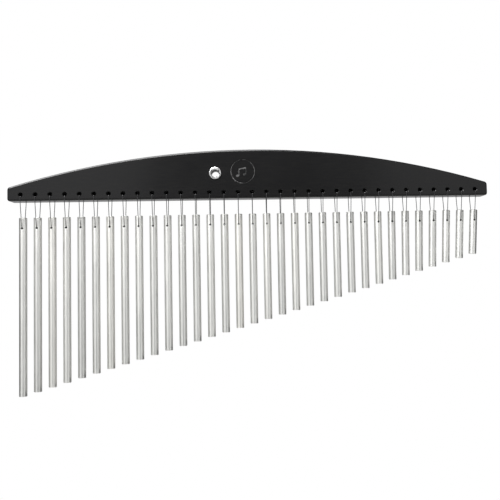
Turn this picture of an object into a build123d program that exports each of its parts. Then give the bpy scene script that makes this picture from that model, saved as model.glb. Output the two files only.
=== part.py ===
from build123d import *
from math import cos, radians, sin
import os

# Bar chime (mark tree): thirty-three solid aluminium bars of falling length hang
# on cord loops from a bowed wooden holder, which a stand rod carries.
# Millimetres, +Z up. +X runs along the row to the shortest bar, -Y is the front,
# and the origin is the middle of the stand bore.

# ---- driving dimensions: bars ----
bar_count = 33
bar_pitch = 17.5
bar_diameter = 9.525          # 3/8 in rod
bar_longest = 216.0
bar_step = 5.0                # each bar is this much shorter than the one before
bar_end_chamfer = 0.4
bar_hole_diameter = 1.8
bar_hole_flare = 0.5
bar_hole_from_top = 13.0      # down to the hole's middle
lean_first_bar = 26           # bars lighter than this one hang a little askew
lean_last_bar = 3.4           # degrees, on the lightest bar

# ---- driving dimensions: cord loops ----
cord_diameter = 0.8
cord_clearance = 0.1          # between a loop and whatever it passes through or over
cord_bend = 1.1               # bend over a hole's lip, on the cord's centre line
cord_edge_bend = 22.0         # gentle bend under the holder's lower edge
cord_turn_below_edge = 1.5
drop_longest = 19.7           # from the holder's underside to the longest bar's top
drop_shortest = 17.5
knot_clearance = 0.3          # all round a stopper knot in the holder's hole
knot_length = 4.6

# ---- driving dimensions: holder ----
holder_end_margin = 16.0      # from the last cord hole to the holder's end
holder_thickness = 22.0
holder_middle_height = 60.6
holder_end_height = 16.5
holder_edge_round = 2.5
holder_lower_corner = 3.0
holder_upper_corner = 4.0
cord_hole_diameter = 5.0
cord_hole_flare = 0.6
cord_hole_height = 7.7        # above the underside

# ---- driving dimensions: stand bore and its two ferrules ----
bore_diameter = 9.6           # takes a 9.5 mm stand rod
bore_height = 31.4            # above the underside
bore_offset = 45.3            # from the middle of the row towards the long bars
bore_mouth_flare = 0.9
sleeve_wall = 1.0
sleeve_length = 6.0
press_gap = 0.01
flange_lip = 1.6              # how far the flange stands out past the sleeve
flange_thickness = 1.3
flange_round = 0.8

# ---- driving dimensions: sunk emblem on the front ----
emblem_diameter = 30.0
emblem_height = 33.3          # above the underside
emblem_offset = 11.3          # from the middle of the row towards the long bars
emblem_line = 0.8
emblem_depth = 0.4
note_spacing = 8.6
note_stem = 9.0
note_head_length = 4.4
note_head_width = 3.2
note_beam_rise = 1.6
note_beam_width = 1.8
note_head_turn = 20

# ---- places worked out from them ----
row_middle = bore_offset
row_length = (bar_count - 1) * bar_pitch
underside = -bore_height
face_front = -holder_thickness / 2
cord_hole_z = underside + cord_hole_height
cord_radius = cord_diameter / 2
cord_in_holder_z = cord_hole_z - cord_hole_diameter / 2 + cord_radius + cord_clearance
knot_radius = cord_hole_diameter / 2 - knot_clearance
knot_z = cord_hole_z - cord_hole_diameter / 2 + knot_radius + cord_clearance / 2
cord_above_bar_hole = bar_hole_diameter / 2 - cord_radius - cord_clearance
sleeve_radius = bore_diameter / 2 + sleeve_wall
flange_radius = sleeve_radius + flange_lip
emblem_x = row_middle - emblem_offset
emblem_z = underside + emblem_height


def bar_x(index):
    """Middle of a bar's cord hole along the row; index 0 is the longest bar."""
    return row_middle + (index - (bar_count - 1) / 2) * bar_pitch


def bar_length(index):
    return bar_longest - index * bar_step


def bar_drop(index):
    """Gap from the holder's underside to a bar's top; heavy bars pull their loops straighter."""
    return drop_longest + (drop_shortest - drop_longest) * index / (bar_count - 1)


def bar_lean(index):
    """Degrees that a bar hangs off plumb, its foot towards the longer bars."""
    steps = bar_count - lean_first_bar
    return lean_last_bar * max(0, index + 1 - lean_first_bar) / steps


def cord_z(index):
    """Height of the cord's centre line where it passes through a bar: the bar's pivot."""
    return underside - bar_drop(index) - bar_hole_from_top + cord_above_bar_hole


def cut_flared_hole(centre, radius, flare, length):
    """Cut a hole along Y through the part being built, with 45 degree flared mouths."""
    half = length / 2
    over = 1.0
    with BuildSketch(Plane(origin=centre, x_dir=(0, 1, 0), z_dir=(1, 0, 0))) as profile:
        with BuildLine():
            Polyline(
                (-half - over, 0),
                (-half - over, radius + flare + over),
                (-half + flare, radius),
                (half - flare, radius),
                (half + over, radius + flare + over),
                (half + over, 0),
                close=True,
            )
        make_face()
    revolve(profile.sketch, axis=Axis(centre, (0, 1, 0)), mode=Mode.SUBTRACT)


os.makedirs("parts", exist_ok=True)

# ---- holder: bowed top, straight underside, rounded all along its edges ----
left = row_middle - row_length / 2 - holder_end_margin
right = row_middle + row_length / 2 + holder_end_margin
with BuildPart() as holder:
    with BuildSketch(Plane.XZ) as outline:
        with BuildLine():
            Polyline(
                (left, underside + holder_end_height),
                (left, underside),
                (right, underside),
                (right, underside + holder_end_height),
            )
            ThreePointArc(
                (right, underside + holder_end_height),
                (row_middle, underside + holder_middle_height),
                (left, underside + holder_end_height),
            )
        make_face()
        fillet(outline.vertices().group_by(Axis.Y)[0], radius=holder_lower_corner)
        fillet(outline.vertices().group_by(Axis.Y)[-1], radius=holder_upper_corner)
    extrude(amount=holder_thickness / 2, both=True)
    rims = holder.faces().filter_by(Axis.Y).edges()
    fillet(rims, radius=holder_edge_round)
    for index in range(bar_count):
        cut_flared_hole(
            (bar_x(index), 0, cord_hole_z), cord_hole_diameter / 2, cord_hole_flare, holder_thickness
        )
    with Locations(Plane.XZ):
        Hole(radius=sleeve_radius + press_gap)
    with BuildSketch(Plane(origin=(emblem_x, face_front, emblem_z), x_dir=(1, 0, 0), z_dir=(0, -1, 0))):
        Circle(emblem_diameter / 2)
        Circle(emblem_diameter / 2 - emblem_line, mode=Mode.SUBTRACT)
        for side in (-1, 1):
            head_x = side * note_spacing / 2 - note_head_length / 2
            rise = side * note_beam_rise / 2
            head_z = rise - note_stem / 2
            with Locations((head_x, head_z)):
                Ellipse(note_head_length / 2, note_head_width / 2, rotation=note_head_turn)
            with Locations((side * note_spacing / 2 - emblem_line / 2, rise)):
                Rectangle(emblem_line, note_stem)
        beam_end = note_spacing / 2
        beam_top = note_stem / 2
        with BuildLine():
            Polyline(
                (-beam_end - emblem_line, beam_top - note_beam_rise / 2),
                (beam_end, beam_top + note_beam_rise / 2),
                (beam_end, beam_top + note_beam_rise / 2 - note_beam_width),
                (-beam_end - emblem_line, beam_top - note_beam_rise / 2 - note_beam_width),
                close=True,
            )
        make_face()
    extrude(amount=-emblem_depth, mode=Mode.SUBTRACT)
holder.part.label = "holder"
export_step(holder.part, "parts/holder.step")

# ---- stand ferrules: a rounded flange on a short sleeve, pressed in from each side ----
for side, name in ((-1, "front_ferrule"), (1, "rear_ferrule")):
    with BuildPart() as ferrule:
        seat = side * holder_thickness / 2
        outward = side * flange_thickness
        with BuildSketch(Plane.XY):
            with BuildLine():
                Polyline(
                    (bore_diameter / 2, seat - side * sleeve_length),
                    (sleeve_radius, seat - side * sleeve_length),
                    (sleeve_radius, seat),
                    (flange_radius, seat),
                    (flange_radius, seat + outward),
                    (bore_diameter / 2 + bore_mouth_flare, seat + outward),
                    (bore_diameter / 2, seat + outward - side * bore_mouth_flare),
                    close=True,
                )
            make_face()
        revolve(axis=Axis.Y)
        flange_rims = ferrule.edges().filter_by(GeomType.CIRCLE).group_by(SortBy.RADIUS)[-1]
        fillet(flange_rims.sort_by(Axis((0, 0, 0), (0, side, 0)))[-1], radius=flange_round)
    ferrule.part.label = name
    export_step(ferrule.part, f"parts/{name}.step")

# ---- bars: each is drawn on its own hanging plane, with its pivot at the plane's origin ----
for index in range(bar_count):
    lean = radians(bar_lean(index))
    pivot = (bar_x(index), 0, cord_z(index))
    hanging = Plane(origin=pivot, x_dir=(cos(lean), 0, -sin(lean)), z_dir=(sin(lean), 0, cos(lean)))
    top = bar_hole_from_top - cord_above_bar_hole
    hole_middle = hanging.from_local_coords((0, 0, -cord_above_bar_hole))
    with BuildPart() as bar:
        with BuildSketch(hanging.offset(top)):
            Circle(bar_diameter / 2)
        extrude(amount=-bar_length(index))
        chamfer(bar.edges().filter_by(GeomType.CIRCLE), length=bar_end_chamfer)
        cut_flared_hole(hole_middle, bar_hole_diameter / 2, bar_hole_flare, bar_diameter)
    name = f"chime_bar_{index + 1:02d}"
    bar.part.label = name
    export_step(bar.part, f"parts/{name}.step")

# ---- cord loops: out of the holder's hole, down its faces, in to the bar and through it,
# with a stopper knot in the middle of the holder's hole ----
loops = []
knots = []
for index in range(bar_count):
    over_lip = -face_front + cord_radius + cord_clearance
    into_bar = bar_diameter / 2 + cord_radius + cord_clearance
    edge_z = underside - cord_turn_below_edge
    half = [
        (-knot_length / 2, cord_in_holder_z),
        (-over_lip, cord_in_holder_z),
        (-over_lip, edge_z),
        (-into_bar, cord_z(index)),
    ]
    other_half = [(-y, z) for y, z in reversed(half)]
    bends = [cord_bend, cord_edge_bend, cord_bend]
    with BuildPart() as loop:
        with BuildLine(Plane.YZ.offset(bar_x(index))) as route:
            FilletPolyline(*half, *other_half, radius=bends + bends[::-1])
        with BuildSketch(Plane(origin=route.line @ 0, z_dir=route.line % 0)):
            Circle(cord_radius)
        sweep()
    loops.append(loop.part)
    with BuildPart() as knot:
        with BuildSketch(Plane(origin=(bar_x(index), 0, knot_z), z_dir=(0, -1, 0))):
            Circle(knot_radius)
        extrude(amount=knot_length / 2, both=True)
    knots.append(knot.part)
for pieces, name in ((loops, "suspension_loops"), (knots, "loop_knots")):
    group = Compound(label=name, children=pieces)
    export_step(group, f"parts/{name}.step")
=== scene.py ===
import math
import random

import bpy
from mathutils import Matrix, Vector


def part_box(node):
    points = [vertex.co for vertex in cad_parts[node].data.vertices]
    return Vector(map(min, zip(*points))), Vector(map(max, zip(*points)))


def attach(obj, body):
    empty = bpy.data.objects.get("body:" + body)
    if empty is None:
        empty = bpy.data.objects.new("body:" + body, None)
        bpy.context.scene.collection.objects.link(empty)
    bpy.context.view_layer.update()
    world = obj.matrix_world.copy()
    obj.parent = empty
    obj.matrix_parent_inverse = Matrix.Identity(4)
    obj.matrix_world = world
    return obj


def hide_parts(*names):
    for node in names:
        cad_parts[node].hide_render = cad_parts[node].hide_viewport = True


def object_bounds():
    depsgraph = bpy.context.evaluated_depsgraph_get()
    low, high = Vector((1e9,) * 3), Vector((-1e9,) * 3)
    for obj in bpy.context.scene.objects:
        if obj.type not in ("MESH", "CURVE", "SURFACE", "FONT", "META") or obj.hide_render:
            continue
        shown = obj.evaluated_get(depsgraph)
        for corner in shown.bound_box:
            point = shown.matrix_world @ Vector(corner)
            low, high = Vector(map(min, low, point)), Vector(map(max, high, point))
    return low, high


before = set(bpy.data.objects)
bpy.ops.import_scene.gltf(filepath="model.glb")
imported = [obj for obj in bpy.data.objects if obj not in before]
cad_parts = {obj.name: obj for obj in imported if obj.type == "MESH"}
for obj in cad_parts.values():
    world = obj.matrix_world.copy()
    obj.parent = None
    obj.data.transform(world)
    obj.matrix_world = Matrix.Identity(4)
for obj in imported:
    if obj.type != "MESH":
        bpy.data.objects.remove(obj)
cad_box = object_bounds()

# Bar chime: thirty-three aluminium bars on cord loops under a bowed black holder.
# Metres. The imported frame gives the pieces' places; sizes it does not carry are set here.
MM = 0.001
bar_nodes = sorted(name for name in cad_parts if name.startswith("chime_bar_"))
bar_boxes = [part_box(name) for name in bar_nodes]
first_bar_x = (bar_boxes[0][0].x + bar_boxes[0][1].x) / 2
second_bar_x = (bar_boxes[1][0].x + bar_boxes[1][1].x) / 2
bar_pitch = second_bar_x - first_bar_x
plumb_bars = 25  # the bars after these hang askew, so their boxes are no guide to their holes
hole_below_top = 13.0 * MM
first_hole_z = bar_boxes[0][1].z - hole_below_top
hole_rise = (bar_boxes[plumb_bars - 1][1].z - bar_boxes[0][1].z) / (plumb_bars - 1)
holder_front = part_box("holder")[0].y
emblem_place = (34.0 * MM, holder_front, 1.9 * MM)
emblem_reach = 16.5 * MM
# The emblem's grooves carry a painted highlight; these two set where it lies.
groove_depth = 0.4 * MM  # the emblem's grooves are this far behind the front face
groove_highlight_spread = 0.2 * MM

# ---- camera ----
camera_place = Vector((0.0349, -0.8552, -0.1343))
camera_yaw = math.radians(3.525)
camera_pitch = math.radians(2.975)
camera_roll = math.radians(-1.181)
camera_lens = 49.5
camera_shift = (-0.074, -0.0098)


def add_camera():
    forward = Vector(
        (
            math.sin(camera_yaw) * math.cos(camera_pitch),
            math.cos(camera_yaw) * math.cos(camera_pitch),
            math.sin(camera_pitch),
        )
    )
    level_right = Vector((math.cos(camera_yaw), -math.sin(camera_yaw), 0))
    level_up = level_right.cross(forward)
    right = math.cos(camera_roll) * level_right + math.sin(camera_roll) * level_up
    up = right.cross(forward)
    data = bpy.data.cameras.new("camera")
    data.sensor_width = 36
    data.lens = camera_lens
    data.shift_x, data.shift_y = camera_shift
    data.clip_start = 0.01
    camera = bpy.data.objects.new("camera", data)
    turn = Matrix((right, up, -forward)).transposed().to_4x4()
    camera.matrix_world = Matrix.Translation(camera_place) @ turn
    bpy.context.collection.objects.link(camera)
    bpy.context.scene.camera = camera


# ---- node helpers ----
class Nodes:
    """A material's or world's node tree, with short calls to add and link nodes."""

    def __init__(self, tree):
        self.tree = tree
        tree.nodes.clear()

    def add(self, kind, inputs=None, **settings):
        node = self.tree.nodes.new("ShaderNode" + kind)
        for name, value in settings.items():
            setattr(node, name, value)
        for name, value in (inputs or {}).items():
            if isinstance(value, bpy.types.NodeSocket):
                self.tree.links.new(value, node.inputs[name])
            else:
                node.inputs[name].default_value = value
        return node

    def math(self, operation, first, second=0.0, third=0.0):
        return self.add("Math", {0: first, 1: second, 2: third}, operation=operation).outputs[0]

    def spread(self, value, low, high, new_low, new_high, smooth=False):
        """Map low..high to new_low..new_high, held at the ends."""
        kind = "SMOOTHSTEP" if smooth else "LINEAR"
        ends = {0: value, 1: low, 2: high, 3: new_low, 4: new_high}
        return self.add("MapRange", ends, interpolation_type=kind).outputs[0]

    def noise(self, place, stretch, scale, detail=3.0, roughness=0.5):
        stretched = self.add("Mapping", {"Vector": place, "Scale": stretch}).outputs[0]
        node = self.add(
            "TexNoise", {"Vector": stretched, "Scale": scale, "Detail": detail, "Roughness": roughness}
        )
        return node.outputs["Fac"]

    def blend(self, share, first, second):
        """Colour from first to second as share goes from 0 to 1."""
        node = self.add("Mix", {"Factor": share}, data_type="RGBA")
        for socket, colour in ((6, first), (7, second)):
            if isinstance(colour, bpy.types.NodeSocket):
                self.tree.links.new(colour, node.inputs[socket])
            else:
                node.inputs[socket].default_value = (*colour, 1)
        return node.outputs[2]

    def bump(self, height, strength, distance, under=None):
        node = self.add("Bump", {"Height": height, "Strength": strength, "Distance": distance})
        if under is not None:
            self.tree.links.new(under, node.inputs["Normal"])
        return node.outputs["Normal"]


def new_material(name):
    material = bpy.data.materials.new(name)
    material.use_nodes = True
    nodes = Nodes(material.node_tree)
    place = nodes.add("TexCoord").outputs["Object"]
    shader = nodes.add("BsdfPrincipled")
    nodes.add("OutputMaterial", {"Surface": shader.outputs[0]})
    return material, nodes, place, shader


def wire(nodes, shader, **sockets):
    """Set or link the shader's sockets: Base_Color=..., Roughness=... and so on."""
    for name, value in sockets.items():
        socket = shader.inputs[name.replace("_", " ")]
        if isinstance(value, bpy.types.NodeSocket):
            nodes.tree.links.new(value, socket)
        else:
            socket.default_value = value


# ---- materials ----
# Noise scales are per metre, and a stretch under 1 draws the pattern out along that axis.
EVEN = (1, 1, 1)


def distance_across(nodes, x, z):
    """How far a point stands from a Y axis, from its offsets along X and Z."""
    squares = nodes.math("ADD", nodes.math("POWER", x, 2), nodes.math("POWER", z, 2))
    return nodes.math("SQRT", squares)


def drawn_aluminium():
    """Satin drawn rod: fine lines along each bar, every bar a slightly different tone."""
    darker_tone_and_bore_shade, bright, warm = (0.68, 0.68, 0.66), (0.78, 0.78, 0.755), (0.78, 0.74, 0.67)
    line_tone, band_tone, hole_shade_tone = (0.48, 0.49, 0.48), (0.52, 0.53, 0.52), (0.03, 0.03, 0.03)
    hole_shade_inner, hole_shade_outer = 1.15 * MM, 1.4 * MM
    line_depth = 0.04 * MM

    material, nodes, place, shader = new_material("drawn_aluminium")
    along = nodes.add("SeparateXYZ", {0: place}).outputs
    from_first = nodes.math("SUBTRACT", along[0], first_bar_x)
    number = nodes.math("ROUND", nodes.math("DIVIDE", from_first, bar_pitch))
    own = nodes.add("TexWhiteNoise", {"W": number}, noise_dimensions="1D").outputs["Value"]
    lines = nodes.noise(place, (1, 1, 0.006), 1400, 4, 0.65)
    bands = nodes.noise(place, (1, 1, 0.01), 330, 2, 0.5)
    clouds = nodes.noise(place, (1, 1, 0.35), 60, 3, 0.6)
    tone = nodes.blend(own, darker_tone_and_bore_shade, bright)
    warmed = nodes.blend(nodes.spread(own, 0.75, 0.95, 0, 0.25), tone, warm)
    streaked = nodes.blend(nodes.spread(lines, 0.4, 0.75, 0, 0.25), warmed, line_tone)
    banded = nodes.blend(nodes.spread(bands, 0.45, 0.7, 0, 0.2), streaked, band_tone)
    satin = nodes.spread(lines, 0.3, 0.7, 0.36, 0.44)
    rough = nodes.math("ADD", satin, nodes.spread(clouds, 0.4, 0.7, 0.0, 0.06))

    # Painted shade: near-black colour inside each bar's cord hole, where the hole lies in shade.
    hole_x = nodes.math("MULTIPLY_ADD", number, bar_pitch, first_bar_x)
    hole_z = nodes.math("MULTIPLY_ADD", number, hole_rise, first_hole_z)
    aside = nodes.math("SUBTRACT", along[0], hole_x)
    upward = nodes.math("SUBTRACT", along[2], hole_z)
    from_hole = distance_across(nodes, aside, upward)
    hole_shade = nodes.spread(from_hole, hole_shade_inner, hole_shade_outer, 1, 0)
    colour = nodes.blend(hole_shade, banded, hole_shade_tone)
    normal = nodes.bump(lines, 0.12, line_depth)
    wire(nodes, shader, Base_Color=colour, Metallic=1.0, Roughness=rough, Normal=normal)
    return material


def black_lacquer():
    """Satin black lacquer over faint wood grain, a grey painted highlight in the emblem's grooves, matt
    cord holes.
    """
    black, grain_tone, groove_highlight_tone = (0.0055, 0.0055, 0.0058), (0.0070, 0.0069, 0.0068), (0.11, 0.11, 0.11)
    relief = 0.1 * MM
    knots_low, knots_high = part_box("loop_knots")
    cord_hole_z = (knots_low.z + knots_high.z) / 2
    row_middle_x = (knots_low.x + knots_high.x) / 2
    row_reach = (knots_high.x - knots_low.x) / 2 + 1.0 * MM
    hole_reach = 3.0 * MM
    lacquered_lip = 0.7 * MM  # lacquer runs this far into a cord hole
    raw_reach = -holder_front - lacquered_lip

    material, nodes, place, shader = new_material("black_lacquer")
    grain = nodes.noise(place, (0.06, 1, 1), 900, 5, 0.6)
    orange_peel = nodes.noise(place, EVEN, 420, 2, 0.4)
    haze = nodes.noise(place, EVEN, 22, 3, 0.55)

    # Painted highlight: grey colour in patches on the emblem's groove floors and walls stands in for light
    # caught by the grooves.
    from_emblem = nodes.add("VectorMath", {0: place, 1: emblem_place}, operation="SUBTRACT").outputs[0]
    offset = nodes.add("SeparateXYZ", {0: from_emblem}).outputs
    near = nodes.math("LESS_THAN", distance_across(nodes, offset[0], offset[2]), emblem_reach)
    sunk = nodes.math("COMPARE", offset[1], groove_depth, groove_highlight_spread)
    wear_and_highlight_patches = nodes.spread(nodes.noise(place, EVEN, 90, 3, 0.6), 0.4, 0.6, 0.1, 1.0)
    groove_highlight = nodes.math("MULTIPLY", nodes.math("MULTIPLY", near, sunk), wear_and_highlight_patches)
    stained = nodes.blend(nodes.spread(grain, 0.4, 0.7, 0, 1), black, grain_tone)
    colour = nodes.blend(groove_highlight, stained, groove_highlight_tone)

    gloss = nodes.spread(haze, 0.35, 0.65, 0.17, 0.22)
    polished = nodes.math("ADD", gloss, nodes.spread(grain, 0.4, 0.7, 0.0, 0.04))
    spot = nodes.add("SeparateXYZ", {0: place}).outputs
    within_faces = nodes.math("COMPARE", spot[1], 0.0, raw_reach)
    at_cord_holes = nodes.math("COMPARE", spot[2], cord_hole_z, hole_reach)
    along_row = nodes.math("COMPARE", spot[0], row_middle_x, row_reach)
    raw = nodes.math("MULTIPLY", nodes.math("MULTIPLY", within_faces, at_cord_holes), along_row)
    rough = nodes.math("MAXIMUM", polished, nodes.math("MULTIPLY", raw, 0.9))
    normal = nodes.bump(orange_peel, 0.04, relief, nodes.bump(grain, 0.014, relief))
    wire(nodes, shader, Base_Color=colour, Roughness=rough, Normal=normal, Specular_IOR_Level=0.2)
    return material


def chrome_plate():
    """Satin plating with rubbed patches, and painted shade darkening the inside of the stand bore."""
    plated, rubbed, darker_tone_and_bore_shade = (0.88, 0.88, 0.88), (0.70, 0.70, 0.70), (0.16, 0.16, 0.16)
    bore_shade_inner, bore_shade_outer = 4.85 * MM, 5.0 * MM
    scratch_depth = 0.03 * MM

    material, nodes, place, shader = new_material("chrome_plate")
    rub = nodes.noise(place, EVEN, 500, 4, 0.6)
    scratch = nodes.noise(place, (1, 0.15, 1), 2600, 3, 0.7)
    wear_and_highlight_patches = nodes.blend(nodes.spread(rub, 0.45, 0.75, 0, 0.5), plated, rubbed)
    rough = nodes.spread(rub, 0.35, 0.7, 0.24, 0.36)
    # Painted shade: the plating's colour goes dark inside the stand bore, where the bore lies in shade.
    spot = nodes.add("SeparateXYZ", {0: place}).outputs
    from_axis = distance_across(nodes, spot[0], spot[2])
    colour = nodes.blend(nodes.spread(from_axis, bore_shade_inner, bore_shade_outer, 1, 0), wear_and_highlight_patches, darker_tone_and_bore_shade)
    normal = nodes.bump(scratch, 0.06, scratch_depth)
    wire(nodes, shader, Base_Color=colour, Metallic=1.0, Roughness=rough, Normal=normal)
    return material


def smoky_nylon():
    """Glossy dark line with a faint twist and scuffs scattered along it."""
    smoke, scuffed = (0.014, 0.014, 0.015), (0.05, 0.05, 0.052)
    twist_depth = 0.08 * MM

    material, nodes, place, shader = new_material("smoky_nylon")
    waves = {"Vector": place, "Scale": 320, "Distortion": 2.0, "Detail": 1}
    twist = nodes.add("TexWave", waves, bands_direction="DIAGONAL").outputs["Fac"]
    scuffs = nodes.noise(place, EVEN, 1500, 3, 0.6)
    colour = nodes.blend(nodes.spread(scuffs, 0.5, 0.75, 0, 0.6), smoke, scuffed)
    rough = nodes.spread(scuffs, 0.3, 0.7, 0.16, 0.34)
    normal = nodes.bump(twist, 0.15, twist_depth)
    wire(nodes, shader, Base_Color=colour, Roughness=rough, Normal=normal)
    return material


def paint_nodes(material, names):
    for name in names:
        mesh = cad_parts[name].data
        mesh.materials.clear()
        mesh.materials.append(material)


# ---- stopper knots inside the holder's cord holes ----
knot_cord_radius = 0.4 * MM
knot_layers = (1.8 * MM, 1.0 * MM, 0.2 * MM)  # radius of each wound layer, outermost first
knot_points_per_turn = 12
knot_wobble = 0.05 * MM
knot_seed = 33


def knot_coil(centre, radius, reach, start, rng):
    """Points of one layer of a knot: the cord wound round itself along Y."""
    turns = (reach - knot_cord_radius) / knot_cord_radius
    steps = int(turns * knot_points_per_turn)
    points = []
    for step in range(steps + 1):
        share = step / steps
        angle = start + share * turns * math.tau
        out = radius - knot_wobble * rng.random()
        y = (share * 2 - 1) * (reach - knot_cord_radius)
        points.append(centre + Vector((out * math.cos(angle), y, out * math.sin(angle))))
    return points


def add_knots(material):
    """One curve object holds every knot, in place of the plain cylinders of the CAD."""
    rng = random.Random(knot_seed)
    low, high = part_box("loop_knots")
    reach = (high.y - low.y) / 2
    data = bpy.data.curves.new("stopper_knots", "CURVE")
    data.dimensions = "3D"
    data.bevel_depth = knot_cord_radius
    data.bevel_resolution = 2
    data.use_fill_caps = True
    for index in range(len(bar_nodes)):
        centre = Vector((first_bar_x + index * bar_pitch, (low.y + high.y) / 2, (low.z + high.z) / 2))
        for radius in knot_layers:
            points = knot_coil(centre, radius, reach, rng.uniform(0, math.tau), rng)
            spline = data.splines.new("NURBS")
            spline.points.add(len(points) - 1)
            for point, place in zip(spline.points, points):
                point.co = (*place, 1)
            spline.order_u = 3
            spline.use_endpoint_u = True
            spline.resolution_u = 2
    data.materials.append(material)
    knots = bpy.data.objects.new("stopper_knots", data)
    bpy.context.collection.objects.link(knots)
    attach(knots, "holder")
    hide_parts("loop_knots")


# ---- studio ----
def soft_box(name, place, aim_point, width, height, radiance):
    """A lamp facing aim_point: it lights and reflects, but the camera does not see it."""
    light = bpy.data.lights.new(name, "AREA")
    light.shape = "RECTANGLE"
    light.size = width
    light.size_y = height
    light.energy = radiance * math.pi * width * height
    box = bpy.data.objects.new(name, light)
    place = Vector(place)
    turn = (Vector(aim_point) - place).to_track_quat("-Z", "Y").to_matrix().to_4x4()
    box.matrix_world = Matrix.Translation(place) @ turn
    box.visible_camera = False
    bpy.context.collection.objects.link(box)


def add_studio():
    """White to the camera; to every other ray, bright far behind the part and dark elsewhere."""
    scene = bpy.context.scene
    scene.view_settings.view_transform = "Standard"
    world = bpy.data.worlds.new("studio")
    world.use_nodes = True
    scene.world = world
    nodes = Nodes(world.node_tree)
    direction = nodes.add("TexCoord").outputs["Generated"]
    part = nodes.add("SeparateXYZ", {0: direction}).outputs
    behind = nodes.spread(part[1], 0.55, 0.85, 0.06, 0.8, smooth=True)
    above = nodes.spread(part[2], 0.2, 0.9, 0.0, 0.06, smooth=True)
    strength = nodes.math("ADD", behind, above)
    studio = nodes.add("Background", {"Strength": strength}).outputs[0]
    white = nodes.add("Background", {"Color": (1, 1, 1, 1), "Strength": 1.0}).outputs[0]
    # The camera sees the white backdrop; every other ray meets the studio.
    seen = nodes.add("LightPath").outputs["Is Camera Ray"]
    mixed = nodes.add("MixShader", {0: seen, 1: studio, 2: white}).outputs[0]
    nodes.add("OutputWorld", {"Surface": mixed})
    middle = (0.045, 0, -0.1)
    soft_box("left_soft_box", (-0.70, -0.95, 0.05), middle, 1.1, 1.5, 1.08)
    soft_box("right_soft_box", (0.86, -0.95, 0.05), middle, 1.05, 1.5, 1.05)
    soft_box("top_soft_box", (-0.50, 0.05, 1.0), (-0.50, 0.1, 0), 1.1, 0.9, 6.0)
    soft_box("front_top_soft_box", (-0.50, -0.66, 1.0), (-0.35, 0, 0), 1.3, 0.75, 24.0)

    floor_drop = 1.2
    floor_reach = 1.6
    level = cad_box[0][2] - floor_drop
    signs = [(-1, -1), (1, -1), (1, 1), (-1, 1)]
    mesh = bpy.data.meshes.new("studio_floor")
    corners = [(x * floor_reach, y * floor_reach, level) for x, y in signs]
    mesh.from_pydata(corners, [], [(0, 1, 2, 3)])
    floor = bpy.data.objects.new("studio_floor", mesh)
    bpy.context.collection.objects.link(floor)
    material, nodes, place, shader = new_material("studio_floor_paint")
    mottle = nodes.noise(place, EVEN, 3, 2, 0.5)
    grey = nodes.blend(mottle, (0.10, 0.10, 0.10), (0.12, 0.12, 0.12))
    wire(nodes, shader, Base_Color=grey, Roughness=0.8, Emission_Color=(1, 1, 1, 1), Emission_Strength=1.0)
    mesh.materials.append(material)


add_camera()
add_studio()
paint_nodes(black_lacquer(), ["holder"])
paint_nodes(drawn_aluminium(), bar_nodes)
paint_nodes(chrome_plate(), ["front_ferrule", "rear_ferrule"])
nylon = smoky_nylon()
paint_nodes(nylon, ["suspension_loops"])
add_knots(nylon)
